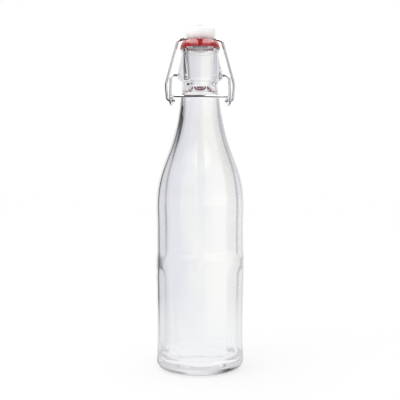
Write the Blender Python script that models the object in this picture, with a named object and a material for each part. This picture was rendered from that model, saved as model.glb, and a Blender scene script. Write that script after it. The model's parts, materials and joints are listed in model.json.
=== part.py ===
"""A swing-top bottle: panelled glass bottle, stopper, gasket, bail and lever.

The bottle stands on z = 0 with its axis on Z. The lever's bow lies in front, towards -Y,
and the closure is modelled shut.
"""

import math

import bmesh
import bpy
from mathutils import Matrix, Vector

MM = 0.001

# Glass body, outside, stacked upwards from the standing surface
LOWER_BODY_HEIGHT = 70.5 * MM
BELT_HEIGHT = 16.5 * MM
UPPER_BODY_HEIGHT = 39.0 * MM
SHOULDER_HEIGHT = 82.0 * MM
NECK_HEIGHT = 43.5 * MM
BODY_RADIUS = 34.25 * MM
HEEL_RADIUS = 7.2 * MM
HEEL_BAND_INSET = 0.45 * MM
WAIST_HEIGHT = 24.0 * MM
WAIST_INSET = 0.85 * MM
LOWER_INSET = 0.15 * MM
BELT_RISE = 0.15 * MM
BELT_EDGE = 5.0 * MM
UPPER_INSET = 0.35 * MM
SHOULDER_SWELL = 14.0 * MM
SHOULDER_PULL = 35.0 * MM
NECK_PULL = 47.5 * MM
NECK_BASE_RADIUS = 15.6 * MM
NECK_BASE_LEAN = 0.12
NECK_RADIUS = 14.0 * MM
NECK_TAPER_HEIGHT = 13.0 * MM

# Panels pressed into the body between heel and belt, and from the belt up the shoulder
PANEL_COUNT = 8
PANEL_DEPTH = 1.0 * MM
PANEL_RUN_OUT = 6.0 * MM
PANEL_CLIMB = 8.5 * MM
PANEL_SOFTNESS = 0.5 * MM
PANEL_FADE_HEIGHT = 70.0 * MM
INNER_PANEL_SHARE = 0.85

# Lip, mouth and bore
LIP_RISE = 0.7 * MM
LIP_HEIGHT = 5.4 * MM
LIP_TOP_FILLET = 2.2 * MM
LIP_UNDER_FILLET = 0.5 * MM
NECK_WALL = 3.0 * MM
MOUTH_FILLET = 1.0 * MM
BORE_TAPER = 1.2 * MM
CHOKE_STEP = 2.1 * MM
CHOKE_ENTRY = 6.0 * MM
CHOKE_DEPTH = 31.6 * MM
FLARE_LENGTH = 6.0 * MM
THROAT_WALL = 2.8 * MM
THROAT_PULL = 45.0 * MM
CAVITY_PULL = 38.0 * MM
BODY_WALL = 2.8 * MM

# Base
FOOT_WIDTH = 4.0 * MM
PUSH_UP = 3.2 * MM
FLOOR_THICKNESS = 4.6 * MM
INNER_HEEL_RADIUS = 9.0 * MM

# Lugs on the neck and the sockets that the lever turns in
PIVOT_DROP = 23.1 * MM
LUG_RADIUS = 4.6 * MM
LUG_REACH = 4.1 * MM
LUG_TIP_RADIUS = 1.4 * MM
LUG_TIP_REACH = 0.5 * MM
LUG_TIP_RISE = 14.8 * MM
SOCKET_DEPTH = 3.2 * MM
SOCKET_CLEARANCE = 0.2 * MM

# Wires
LEVER_WIRE = 2.0 * MM
BAIL_WIRE = 2.0 * MM
WIRE_GAP = 0.3 * MM

# Lever: arm, eye and bow
ARM_STAND_OFF = 4.7 * MM
ARM_SPREAD = 0.5 * MM
ARM_BEND = 3.2 * MM
ARM_DROP = 19.8 * MM
EYE_CLEARANCE = 1.2 * MM
BOW_CLEARANCE = 0.9 * MM
BOW_DIP = 1.7 * MM
BOW_CROWN = 1.9 * MM
BOW_CORNER_BEND = 9.0 * MM
BOW_CROWN_BEND = 45.0 * MM

# Bail: cross wire, legs and hooks
BAIL_TOP_DROP = 1.2 * MM
BAIL_TOP_REACH = 5.0 * MM
BAIL_TOP_BEND = 2.6 * MM
BAIL_BULGE = 1.1 * MM
BAIL_BULGE_RISE = 13.0 * MM
BAIL_BULGE_BEND = 14.0 * MM
HOOK_BEND = 3.0 * MM
HOOK_TAIL = 0.6 * MM

# Gasket: a disc that drapes over the lip's rounded edge, with a short cone into the mouth
GASKET_THICKNESS = 3.0 * MM
GASKET_RIM = 0.6 * MM
GASKET_RIM_ANGLE = 25.0
GASKET_CROWN_SHARE = 0.4
GASKET_CROWN_SPREAD = 2.4 * MM
GASKET_TOP_INSET = 2.1 * MM
GASKET_CONE_DEPTH = 1.6 * MM
GASKET_CONE_TAPER = 1.2 * MM
SEAT_GAP = 0.3 * MM

# Stopper
HEAD_RADIUS = 12.3 * MM
HEAD_HEIGHT = 10.9 * MM
HEAD_TOP_RADIUS = 7.0 * MM
HEAD_DOME_HEIGHT = 4.8 * MM
DOME_RISE_SHARE = 0.6
DOME_SPREAD_SHARE = 0.6
HEAD_UNDER_FILLET = 3.6 * MM
STEM_RADIUS = 4.6 * MM
BUTTON_RADIUS = 6.3 * MM
BUTTON_HEIGHT = 3.4 * MM
BUTTON_TIP_RADIUS = 4.2 * MM
CROSS_HOLE_RISE = 1.6 * MM
CROSS_HOLE_CLEARANCE = 0.15 * MM

# Fineness of the meshes, in counts
GLASS_SIDES = 48
ROUND_SIDES = 40
HOLE_SIDES = 20
BALL_SIDES = 20
WIRE_RESOLUTION = 3
BEND_STEP = math.radians(15)
EYE_STEP = math.radians(18)
CUT_OVERRUN = 1.0 * MM

# Heights that several pieces share
BELT_LOW = LOWER_BODY_HEIGHT
BELT_TOP = BELT_LOW + BELT_HEIGHT
BODY_TOP = BELT_TOP + UPPER_BODY_HEIGHT
SHOULDER_TOP = BODY_TOP + SHOULDER_HEIGHT
LIP_TOP = SHOULDER_TOP + NECK_HEIGHT
LIP_LOW = LIP_TOP - LIP_HEIGHT
PIVOT_Z = LIP_TOP - PIVOT_DROP
GASKET_LOW = LIP_TOP + SEAT_GAP
GASKET_TOP = GASKET_LOW + GASKET_THICKNESS
HEAD_LOW = GASKET_TOP + SEAT_GAP
CROSS_Z = HEAD_LOW + CROSS_HOLE_RISE
EYE_Z = PIVOT_Z - ARM_DROP

# Radii that follow from the neck and its walls, from the lip down the bore
LIP_RADIUS = NECK_RADIUS + LIP_RISE
LIP_EDGE_RADIUS = LIP_RADIUS - LIP_TOP_FILLET
MOUTH_RADIUS = NECK_RADIUS - NECK_WALL
BORE_LOW_RADIUS = MOUTH_RADIUS - BORE_TAPER
CHOKE_RADIUS = BORE_LOW_RADIUS - CHOKE_STEP
THROAT_RADIUS = NECK_BASE_RADIUS - THROAT_WALL

# Places across the bottle, on the +X side
LUG_X = NECK_RADIUS + LUG_REACH - LUG_RADIUS
LUG_FACE_X = NECK_RADIUS + LUG_REACH
ARM_X = LUG_FACE_X + ARM_STAND_OFF
EYE_OUTER_X = ARM_X + ARM_SPREAD
EYE_INNER_X = EYE_OUTER_X - LEVER_WIRE - WIRE_GAP
LEG_X = EYE_OUTER_X + (LEVER_WIRE + BAIL_WIRE) / 2 + WIRE_GAP
EYE_BEND = (LEVER_WIRE + BAIL_WIRE) / 2 + EYE_CLEARANCE


def clear_scene():
    """Remove every object that the file starts with."""
    for thing in list(bpy.data.objects):
        bpy.data.objects.remove(thing, do_unlink=True)


def make_material(name, colour, roughness, metallic=0.0, transmission=0.0):
    """Return a Principled material of one colour."""
    material = bpy.data.materials.new(name)
    material.use_nodes = True
    shader = material.node_tree.nodes["Principled BSDF"]
    shader.inputs["Base Color"].default_value = (*colour, 1.0)
    shader.inputs["Roughness"].default_value = roughness
    shader.inputs["Metallic"].default_value = metallic
    shader.inputs["Transmission Weight"].default_value = transmission
    return material


def link_mesh(name, bm, material=None):
    """Turn a bmesh into a smooth-shaded object of the scene."""
    mesh = bpy.data.meshes.new(name)
    bm.normal_update()
    bm.to_mesh(mesh)
    bm.free()
    mesh.shade_smooth()
    mesh.set_sharp_from_angle(angle=math.radians(35))
    thing = bpy.data.objects.new(name, mesh)
    bpy.context.scene.collection.objects.link(thing)
    if material:
        mesh.materials.append(material)
    return thing


def arc(centre, radius, start, end, steps):
    """Return points of a circle's arc in the (radius, height) plane, angles in degrees."""
    points = []
    for step in range(steps + 1):
        angle = math.radians(start + (end - start) * step / steps)
        points.append((centre[0] + radius * math.cos(angle), centre[1] + radius * math.sin(angle)))
    return points


def bezier(first, pull_first, pull_last, last, steps):
    """Return points of a cubic curve in the (radius, height) plane."""
    points = []
    for step in range(steps + 1):
        t = step / steps
        weights = ((1 - t) ** 3, 3 * t * (1 - t) ** 2, 3 * t * t * (1 - t), t ** 3)
        corners = (first, pull_first, pull_last, last)
        points.append(tuple(sum(w * c[axis] for w, c in zip(weights, corners)) for axis in (0, 1)))
    return points


def smooth_step(low, high, value):
    """Rise from 0 at low to 1 at high with level ends."""
    t = min(max((value - low) / (high - low), 0.0), 1.0)
    return t * t * (3 - 2 * t)


def wall_radius(z):
    """Return the body's round outline, heel to shoulder, at a height."""
    stations = (
        (HEEL_RADIUS, BODY_RADIUS - HEEL_BAND_INSET),
        (WAIST_HEIGHT, BODY_RADIUS - WAIST_INSET),
        (BELT_LOW - BELT_EDGE, BODY_RADIUS - LOWER_INSET),
        (BELT_LOW, BODY_RADIUS + BELT_RISE),
        (BELT_TOP, BODY_RADIUS + BELT_RISE),
        (BELT_TOP + BELT_EDGE, BODY_RADIUS - UPPER_INSET),
        (BODY_TOP - SHOULDER_SWELL, BODY_RADIUS - UPPER_INSET),
        (BODY_TOP, BODY_RADIUS),
    )
    radius = stations[0][1]
    for (low, radius_low), (high, radius_high) in zip(stations, stations[1:]):
        radius += (radius_high - radius_low) * smooth_step(low, high, z)
    return radius


def run_out(distance):
    """Return how deep a panel is, as a share, at a distance inside its end."""
    t = min(max(distance / PANEL_RUN_OUT, 0.0), 1.0)
    return 1 - (1 - t) ** 2


def panel_share(z):
    """Return the depth of the panels at a height, as a share of their full depth."""
    lower_top = BELT_LOW + PANEL_CLIMB
    if z < lower_top:
        return min(run_out(lower_top - z), run_out(z - HEEL_RADIUS))
    return run_out(z - BELT_TOP) * (1 - smooth_step(BODY_TOP, BODY_TOP + PANEL_FADE_HEIGHT, z))


def panelled_radius(radius, depth, angle):
    """Return the radius of a round outline with flat panels cut softly into it."""
    pitch = 2 * math.pi / PANEL_COUNT
    from_middle = (angle % pitch) - pitch / 2
    flat = (radius - depth) / math.cos(from_middle)
    blend = min(max(0.5 + 0.5 * (radius - flat) / PANEL_SOFTNESS, 0.0), 1.0)
    return radius + (flat - radius) * blend - PANEL_SOFTNESS * blend * (1 - blend) * (depth > 0)


def outer_outline():
    """Return the outside from the middle of the base to the lip, as (radius, height)."""
    foot_outer = BODY_RADIUS - HEEL_BAND_INSET - HEEL_RADIUS
    foot_inner = foot_outer - FOOT_WIDTH
    outline = bezier((0, PUSH_UP), (foot_inner / 2, PUSH_UP), (foot_inner * 3 / 4, 0), (foot_inner, 0), 5)
    outline += arc((foot_outer, HEEL_RADIUS), HEEL_RADIUS, 270, 360, 5)
    heights = level_heights(HEEL_RADIUS, BODY_TOP, 22)
    outline += [(wall_radius(z), z) for z in heights[1:]]
    neck_lean = NECK_BASE_LEAN * NECK_PULL
    outline += bezier(
        (BODY_RADIUS, BODY_TOP),
        (BODY_RADIUS, BODY_TOP + SHOULDER_PULL),
        (NECK_BASE_RADIUS + neck_lean, SHOULDER_TOP - NECK_PULL),
        (NECK_BASE_RADIUS, SHOULDER_TOP),
        13,
    )[1:]
    taper_top = SHOULDER_TOP + NECK_TAPER_HEIGHT
    half = NECK_TAPER_HEIGHT / 2
    outline += bezier(
        (NECK_BASE_RADIUS, SHOULDER_TOP),
        (NECK_BASE_RADIUS - NECK_BASE_LEAN * half, SHOULDER_TOP + half),
        (NECK_RADIUS, taper_top - half),
        (NECK_RADIUS, taper_top),
        3,
    )[1:]
    under = LIP_UNDER_FILLET
    outline += [(NECK_RADIUS, LIP_LOW - under)]
    outline += arc((LIP_RADIUS - under, LIP_LOW), under, 270, 360, 2)
    top = LIP_TOP_FILLET
    outline += arc((LIP_RADIUS - top, LIP_TOP - top), top, 0, 90, 4)
    return outline


def level_heights(low, high, steps):
    """Return evenly spaced heights from low to high."""
    return [low + (high - low) * step / steps for step in range(steps + 1)]


def inner_outline():
    """Return the inside from the mouth down to the middle of the floor."""
    outline = arc((MOUTH_RADIUS + MOUTH_FILLET, LIP_TOP - MOUTH_FILLET), MOUTH_FILLET, 90, 180, 3)
    choke_z = LIP_TOP - CHOKE_DEPTH
    outline += bezier(
        (BORE_LOW_RADIUS, choke_z + CHOKE_ENTRY),
        (BORE_LOW_RADIUS, choke_z + CHOKE_ENTRY / 2),
        (CHOKE_RADIUS, choke_z + CHOKE_ENTRY / 2),
        (CHOKE_RADIUS, choke_z),
        4,
    )
    flare_low = choke_z - FLARE_LENGTH
    body_radius = BODY_RADIUS - BODY_WALL
    outline += bezier(
        (THROAT_RADIUS, flare_low),
        (THROAT_RADIUS, flare_low - THROAT_PULL),
        (body_radius, BODY_TOP + CAVITY_PULL),
        (body_radius, BODY_TOP),
        12,
    )
    floor_z = PUSH_UP + FLOOR_THICKNESS
    heel_top = floor_z + INNER_HEEL_RADIUS - PUSH_UP / 2
    for z in reversed(level_heights(heel_top, BODY_TOP, 14)[:-1]):
        outline.append((wall_radius(z) - BODY_WALL, z))
    heel_radius = wall_radius(heel_top) - BODY_WALL
    heel_middle = (heel_radius - INNER_HEEL_RADIUS, heel_top)
    outline += arc(heel_middle, INNER_HEEL_RADIUS, 360, 270, 5)[1:]
    edge = outline[-1]
    outline += bezier(edge, (edge[0] * 3 / 4, edge[1]), (edge[0] / 2, floor_z), (0, floor_z), 4)[1:]
    return outline


def glass_mesh():
    """Loft the panelled rings of both walls into one closed bottle."""
    bm = bmesh.new()
    outer = outer_outline()
    rings = [(point, 1.0) for point in outer] + [(point, INNER_PANEL_SHARE) for point in inner_outline()]
    loops = []
    for (radius, z), share in rings:
        if not radius:
            loops.append([bm.verts.new((0, 0, z))])
            continue
        depth = PANEL_DEPTH * panel_share(z) * share * radius / BODY_RADIUS
        loop = []
        for side in range(GLASS_SIDES):
            angle = 2 * math.pi * side / GLASS_SIDES
            r = panelled_radius(radius, depth, angle) if z > HEEL_RADIUS and depth > 0 else radius
            loop.append(bm.verts.new((r * math.cos(angle), r * math.sin(angle), z)))
        loops.append(loop)
    for low, high in zip(loops, loops[1:]):
        join_loops(bm, low, high)
    return bm


def join_loops(bm, low, high):
    """Bridge two rings of a loft, either of which may be a single point."""
    count = max(len(low), len(high))
    for side in range(count):
        following = (side + 1) % count
        lower = [low[side % len(low)], low[following % len(low)]]
        upper = [high[following % len(high)], high[side % len(high)]]
        bm.faces.new(list(dict.fromkeys(lower + upper)))


def turned_mesh(outline, sides):
    """Turn an outline that starts and ends on the axis into a closed solid."""
    bm = bmesh.new()
    loops = []
    for radius, z in outline:
        if not radius:
            loops.append([bm.verts.new((0, 0, z))])
            continue
        turns = [2 * math.pi * side / sides for side in range(sides)]
        loops.append([bm.verts.new((radius * math.cos(a), radius * math.sin(a), z)) for a in turns])
    for low, high in zip(loops, loops[1:]):
        join_loops(bm, low, high)
    if len(loops[0]) > 1:
        join_loops(bm, loops[-1], loops[0])
    return bm


def cylinder_cutter(name, radius, x_low, x_high, z):
    """Return a hidden cylinder along X that cuts a round hole."""
    bm = bmesh.new()
    bmesh.ops.create_cone(
        bm,
        cap_ends=True,
        segments=HOLE_SIDES,
        radius1=radius,
        radius2=radius,
        depth=x_high - x_low,
        matrix=Matrix.Translation(((x_low + x_high) / 2, 0, z)) @ Matrix.Rotation(math.pi / 2, 4, "Y"),
    )
    cutter = link_mesh(name, bm)
    cutter.hide_render = True
    cutter.display_type = "WIRE"
    return cutter


def apply_boolean(target, tool, operation):
    """Add an exact Boolean of one object with another, and hide the tool."""
    modifier = target.modifiers.new(tool.name, "BOOLEAN")
    modifier.operation = operation
    modifier.solver = "EXACT"
    modifier.object = tool
    tool.hide_render = True
    tool.display_type = "WIRE"


def ball_points(centre, radius, sides):
    """Return points spread over a ball in rings about its vertical axis."""
    points = [centre + Vector((0, 0, radius)), centre - Vector((0, 0, radius))]
    rings = sides // 2
    for ring in range(1, rings):
        tilt = math.pi * ring / rings
        for side in range(sides):
            turn = 2 * math.pi * side / sides
            across = math.sin(tilt)
            ray = Vector((across * math.cos(turn), across * math.sin(turn), math.cos(tilt)))
            points.append(centre + radius * ray)
    return points


def lug_shape(name, side):
    """Return a teardrop of glass: the hull of a large ball and a small one above it."""
    bm = bmesh.new()
    tip_x = NECK_RADIUS + LUG_TIP_REACH - LUG_TIP_RADIUS
    low = Vector((side * LUG_X, 0, PIVOT_Z))
    high = Vector((side * tip_x, 0, PIVOT_Z + LUG_TIP_RISE))
    balls = ball_points(low, LUG_RADIUS, BALL_SIDES) + ball_points(high, LUG_TIP_RADIUS, BALL_SIDES // 2)
    for point in balls:
        bm.verts.new(point)
    hull = bmesh.ops.convex_hull(bm, input=bm.verts)
    inside = [item for item in hull["geom_interior"] if isinstance(item, bmesh.types.BMVert)]
    bmesh.ops.delete(bm, geom=inside, context="VERTS")
    bmesh.ops.recalc_face_normals(bm, faces=bm.faces)
    return link_mesh(name, bm)


def make_glass_bottle():
    """Build the glass with its lugs and the two sockets for the lever."""
    material = make_material("clear_glass", (0.93, 0.95, 0.96), 0.02, transmission=1.0)
    glass = link_mesh("glass_bottle", glass_mesh(), material)
    for side, word in ((1, "right"), (-1, "left")):
        apply_boolean(glass, lug_shape(f"{word}_lug", side), "UNION")
    socket_radius = LEVER_WIRE / 2 + SOCKET_CLEARANCE
    for side, word in ((1, "right"), (-1, "left")):
        ends = sorted((side * (LUG_FACE_X - SOCKET_DEPTH), side * (LUG_FACE_X + CUT_OVERRUN)))
        cutter = cylinder_cutter(f"{word}_socket", socket_radius, *ends, PIVOT_Z)
        apply_boolean(glass, cutter, "DIFFERENCE")
    return glass


def make_stopper():
    """Turn the domed head, the stem and the retaining button, and bore the cross hole."""
    head_top = HEAD_LOW + HEAD_HEIGHT
    dome_low = head_top - HEAD_DOME_HEIGHT
    button_top = GASKET_LOW - GASKET_CONE_DEPTH - SEAT_GAP
    button_low = button_top - BUTTON_HEIGHT
    tip_fillet = BUTTON_HEIGHT / 4
    outline = [(0, button_low), (BUTTON_TIP_RADIUS, button_low)]
    outline += [(BUTTON_RADIUS - tip_fillet, button_top - tip_fillet * 2)]
    outline += [(BUTTON_RADIUS, button_top - tip_fillet), (BUTTON_RADIUS - tip_fillet / 2, button_top)]
    outline += [(STEM_RADIUS, button_top), (STEM_RADIUS, HEAD_LOW)]
    under = HEAD_UNDER_FILLET
    outline += arc((HEAD_RADIUS - under, HEAD_LOW + under), under, 270, 360, 4)
    shoulder = HEAD_RADIUS - HEAD_TOP_RADIUS
    dome = bezier(
        (HEAD_RADIUS, dome_low),
        (HEAD_RADIUS, dome_low + HEAD_DOME_HEIGHT * DOME_RISE_SHARE),
        (HEAD_TOP_RADIUS + shoulder * DOME_SPREAD_SHARE, head_top),
        (HEAD_TOP_RADIUS, head_top),
        7,
    )
    outline += dome + [(0, head_top)]
    material = make_material("white_plastic", (0.9, 0.9, 0.9), 0.2)
    stopper = link_mesh("stopper", turned_mesh(outline, ROUND_SIDES), material)
    hole_end = HEAD_RADIUS + CUT_OVERRUN
    hole = cylinder_cutter("cross_hole", BAIL_WIRE / 2 + CROSS_HOLE_CLEARANCE, -hole_end, hole_end, CROSS_Z)
    apply_boolean(stopper, hole, "DIFFERENCE")
    return stopper


def make_gasket():
    """Turn the rubber disc: it drapes over the lip and has a short cone into the mouth."""
    inner = STEM_RADIUS + SEAT_GAP
    cone_top = MOUTH_RADIUS - SEAT_GAP
    cone_low = GASKET_LOW - GASKET_CONE_DEPTH
    outline = [(inner, cone_low), (cone_top - GASKET_CONE_TAPER, cone_low), (cone_top, GASKET_LOW)]
    fillet = LIP_TOP_FILLET + SEAT_GAP
    middle = (LIP_EDGE_RADIUS, GASKET_LOW - fillet)
    outline += arc(middle, fillet, 90, GASKET_RIM_ANGLE, 5)
    rim = arc(middle, fillet + GASKET_RIM, GASKET_RIM_ANGLE, GASKET_RIM_ANGLE, 1)[0]
    top_radius = LIP_RADIUS - GASKET_TOP_INSET
    rise = (GASKET_TOP - rim[1]) * GASKET_CROWN_SHARE
    outline += bezier(
        rim,
        (rim[0] - rise / 2, rim[1] + rise),
        (top_radius + GASKET_CROWN_SPREAD / 2, GASKET_TOP),
        (top_radius, GASKET_TOP),
        6,
    )
    outline += [(inner, GASKET_TOP)]
    material = make_material("red_rubber", (0.6, 0.02, 0.015), 0.35)
    return link_mesh("gasket", turned_mesh(outline, ROUND_SIDES), material)


def bend_path(corners, bends):
    """Round each inner corner of a path with an arc of its bend radius."""
    points = [corners[0]]
    for before, corner, after, bend in zip(corners, corners[1:], corners[2:], bends):
        back = (before - corner).normalized()
        ahead = (after - corner).normalized()
        turn = math.pi - back.angle(ahead)
        reach = bend * math.tan(turn / 2)
        middle = corner + (back + ahead).normalized() * (bend / math.cos(turn / 2))
        start = corner + back * reach - middle
        axis = start.cross(corner + ahead * reach - middle)
        steps = max(2, math.ceil(turn / BEND_STEP))
        for step in range(steps + 1):
            points.append(middle + Matrix.Rotation(turn * step / steps, 3, axis) @ start)
    points.append(corners[-1])
    return points


def wire_object(name, points, diameter, origin, material):
    """Sweep a round wire along points, with its origin on its joint's axis."""
    curve = bpy.data.curves.new(name, "CURVE")
    curve.dimensions = "3D"
    curve.bevel_depth = diameter / 2
    curve.bevel_resolution = WIRE_RESOLUTION
    curve.use_fill_caps = True
    spline = curve.splines.new("POLY")
    spline.points.add(len(points) - 1)
    for place, point in zip(spline.points, points):
        place.co = (*(point - origin), 1.0)
    spline.use_smooth = True
    curve.materials.append(material)
    wire = bpy.data.objects.new(name, curve)
    wire.location = origin
    bpy.context.scene.collection.objects.link(wire)
    return wire


def mirrored(points):
    """Return the points of the -X half that continues a path from +X."""
    return [Vector((-point.x, point.y, point.z)) for point in reversed(points)]


def eye_coil(arm_top):
    """Wind three quarters of a turn round the bail's hook, from arm to bow."""
    away = arm_top.z - EYE_Z
    start = math.pi + math.asin(EYE_BEND / away)
    end = 2 * math.pi + math.pi / 2
    steps = math.ceil((end - start) / EYE_STEP)
    points = []
    for step in range(steps + 1):
        share = step / steps
        angle = start + (end - start) * share
        x = EYE_OUTER_X + (EYE_INNER_X - EYE_OUTER_X) * share
        points.append(Vector((x, EYE_BEND * math.cos(angle), EYE_Z + EYE_BEND * math.sin(angle))))
    return points


def make_lever():
    """Bend the lower wire: socket end, arm, eye and half the bow, then its mirror."""
    tip = Vector((LUG_FACE_X - SOCKET_DEPTH + SEAT_GAP, 0, PIVOT_Z))
    knee = Vector((ARM_X, 0, PIVOT_Z))
    coil = eye_coil(knee)
    arm = bend_path([tip, knee, coil[0]], [ARM_BEND])
    bow_z = coil[-1].z - BOW_DIP
    bow_front = -(NECK_BASE_RADIUS + BOW_CLEARANCE + LEVER_WIRE / 2)
    corner = Vector((EYE_INNER_X, bow_front + BOW_CROWN / 2, bow_z))
    crown = Vector((0, bow_front - BOW_CROWN / 2, bow_z))
    far_corner = Vector((-corner.x, corner.y, corner.z))
    bow = bend_path([coil[-1], corner, crown, far_corner], [BOW_CORNER_BEND, BOW_CROWN_BEND])
    bow_half = [point for point in bow[1:-1] if point.x > 0]
    half = arm[:-1] + coil + bow_half
    points = half + mirrored(half)
    steel = make_material("lever_steel", (0.75, 0.76, 0.78), 0.18, 1.0)
    return wire_object("lever", points, LEVER_WIRE, Vector((0, 0, PIVOT_Z)), steel)


def make_bail():
    """Bend the upper wire: hook, leg and half the cross wire, then its mirror."""
    hook_tip = Vector((EYE_INNER_X - LEVER_WIRE / 2 - HOOK_TAIL, 0, EYE_Z))
    heel = Vector((LEG_X, 0, EYE_Z))
    bulge = Vector((LEG_X + BAIL_BULGE, 0, EYE_Z + BAIL_BULGE_RISE))
    top_x = HEAD_RADIUS + BAIL_TOP_REACH
    top = Vector((top_x, 0, CROSS_Z - BAIL_TOP_DROP))
    entry = Vector((HEAD_RADIUS, 0, CROSS_Z))
    middle = Vector((0, 0, CROSS_Z))
    half = bend_path(
        [hook_tip, heel, bulge, top, entry, middle],
        [HOOK_BEND, BAIL_BULGE_BEND, BAIL_TOP_BEND, BAIL_TOP_BEND],
    )[:-1]
    points = half + mirrored(half)
    steel = make_material("bail_steel", (0.75, 0.76, 0.78), 0.18, 1.0)
    return wire_object("bail", points, BAIL_WIRE, Vector((0, 0, EYE_Z)), steel)


def main():
    """Build every piece of the bottle."""
    clear_scene()
    make_glass_bottle()
    make_stopper()
    make_gasket()
    make_lever()
    make_bail()


main()
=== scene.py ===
"""The looks of a swing-top bottle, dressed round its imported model.

Clear panelled glass with two lugs, a white stopper with its red gasket, and the two bent
wires that clamp it shut. Lengths are in metres. The bottle stands on z = 0 and faces -Y.
"""

import json
import logging
import math
from collections.abc import Callable
from dataclasses import dataclass
from enum import Enum

import bpy
import numpy as np
from mathutils import Matrix, Vector


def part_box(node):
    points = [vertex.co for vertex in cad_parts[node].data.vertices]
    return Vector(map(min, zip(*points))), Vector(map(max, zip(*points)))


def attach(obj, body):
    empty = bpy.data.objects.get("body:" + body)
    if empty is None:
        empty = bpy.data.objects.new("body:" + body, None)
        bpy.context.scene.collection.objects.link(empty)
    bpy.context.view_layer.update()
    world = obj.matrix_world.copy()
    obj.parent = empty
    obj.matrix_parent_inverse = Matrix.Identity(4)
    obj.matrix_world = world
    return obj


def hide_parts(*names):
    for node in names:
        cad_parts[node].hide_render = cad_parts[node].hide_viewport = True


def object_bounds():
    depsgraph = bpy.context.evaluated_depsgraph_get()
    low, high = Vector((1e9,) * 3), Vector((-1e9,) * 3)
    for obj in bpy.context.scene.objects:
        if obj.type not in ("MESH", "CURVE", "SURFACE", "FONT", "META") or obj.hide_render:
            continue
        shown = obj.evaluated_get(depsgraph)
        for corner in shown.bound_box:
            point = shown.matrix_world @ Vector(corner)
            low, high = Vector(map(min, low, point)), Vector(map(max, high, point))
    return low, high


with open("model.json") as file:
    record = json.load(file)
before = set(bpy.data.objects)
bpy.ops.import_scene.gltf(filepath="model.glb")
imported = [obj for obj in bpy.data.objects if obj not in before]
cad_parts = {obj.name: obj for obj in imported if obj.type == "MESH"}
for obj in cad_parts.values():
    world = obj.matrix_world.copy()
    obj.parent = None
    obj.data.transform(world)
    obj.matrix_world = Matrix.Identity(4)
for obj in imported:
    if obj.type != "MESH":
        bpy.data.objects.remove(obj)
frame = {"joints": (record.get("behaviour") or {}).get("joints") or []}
CAD_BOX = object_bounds()

MM = 0.001
# Outline points closer together than this are one
HAIR = 1e-9
# A ray whose depth of a kind is above this has bounced that way
ONE_BOUNCE = 0.5
WHITE = (1.0, 1.0, 1.0)
LOG = logging.getLogger("swing_top_bottle")

Point = tuple[float, float]
Span = tuple[float, float]
Triple = tuple[float, float, float]
Piece = bpy.types.Object
Socket = bpy.types.NodeSocket
Sockets = dict[str | int, object]


class Body(Enum):
    """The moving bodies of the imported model."""

    GLASS = "glass_bottle"
    LEVER = "lever"
    BAIL = "bail"
    STOPPER = "stopper"


class Slot(Enum):
    """The record's material slots."""

    CLEAR_GLASS = "clear_glass"
    WHITE_PLASTIC = "white_plastic"
    RED_RUBBER = "red_rubber"
    WIRE = "wire"


class Hinge(Enum):
    """The joints whose axes the wires are bent round."""

    LEVER = "lever_hinge"
    BAIL = "bail_hinge"
    STOPPER = "stopper_hinge"

    def height(self) -> float:
        """Return how high the joint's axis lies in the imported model."""
        return next(joint["pos_m"][2] for joint in frame["joints"] if joint["name"] == self.value)


class Side(Enum):
    """The two sides of the bottle, by the sign of x."""

    RIGHT = 1
    LEFT = -1


class Cast(Enum):
    """The colour casts of the surround's tones, by how blue is raised or lowered."""

    COOL = 1.045
    PLAIN = 1.0
    WARM = 0.965


COOL, PLAIN, WARM = Cast
Tones = tuple[tuple[float, float, Cast], ...]


class Pen:
    """Draws an outline in the plane of radius and height, point by point."""

    def __init__(self, *start: Point) -> None:
        """Set the pen down on a point, or nowhere yet."""
        self.points = list(start)

    def line(self, end: Point, steps: int = 1) -> None:
        """Draw a straight line to an end in even steps."""
        ways = list(zip(self.points[-1], end))
        self.points += [tuple(a + (b - a) * step / steps for a, b in ways) for step in range(1, steps + 1)]

    def follow(self, radius_at: Callable[[float], float], end: float, steps: int) -> None:
        """Draw on to a height in even steps, at a radius that follows the height.

        Args:
            radius_at: gives the radius at a height.
            end: the height that is drawn to.
            steps: how many chords there are.
        """
        start = self.points[-1][1]
        heights = [start + (end - start) * step / steps for step in range(1, steps + 1)]
        self.points += [(radius_at(z), z) for z in heights]

    def curve(self, leaving: Point, arriving: Point, end: Point, steps: int) -> None:
        """Draw a cubic curve.

        Args:
            leaving: the point that the curve leaves towards.
            arriving: the point that it arrives from.
            end: where it ends.
            steps: how many chords it has.
        """
        corners = (self.points[-1], leaving, arriving, end)
        for step in range(1, steps + 1):
            t = step / steps
            weights = ((1 - t) ** 3, 3 * t * (1 - t) ** 2, 3 * t * t * (1 - t), t ** 3)
            self.points.append(tuple(sum(w * c[axis] for w, c in zip(weights, corners)) for axis in (0, 1)))

    def arc(self, centre: Point, radius: float, start: float, end: float, steps: int) -> None:
        """Draw an arc, after a straight line to where it starts.

        Args:
            centre: the circle's centre.
            radius: the circle's radius.
            start: the first point's angle in degrees, 0 pointing away from the axis.
            end: the last point's angle in degrees.
            steps: how many chords the arc has.
        """
        turns = [math.radians(start + (end - start) * step / steps) for step in range(steps + 1)]
        arc = [(centre[0] + radius * math.cos(turn), centre[1] + radius * math.sin(turn)) for turn in turns]
        there = self.points and math.dist(self.points[-1], arc[0]) < HAIR
        self.points += arc[1:] if there else arc


def smooth_step(low: float, high: float, value: float) -> float:
    """Rise from 0 at low to 1 at high with level ends."""
    t = min(max((value - low) / (high - low), 0.0), 1.0)
    return t * t * (3 - 2 * t)


def soft_least(a: np.ndarray, b: np.ndarray, width: float) -> np.ndarray:
    """Return the lesser of two distances, rounded over where they differ by less than a width."""
    share = np.clip(0.5 + 0.5 * (b - a) / width, 0.0, 1.0)
    return b + (a - b) * share - width * share * (1 - share)


def even_angles(count: int) -> np.ndarray:
    """Return angles evenly spaced round a circle."""
    return np.arange(count) * 2 * math.pi / count


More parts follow.
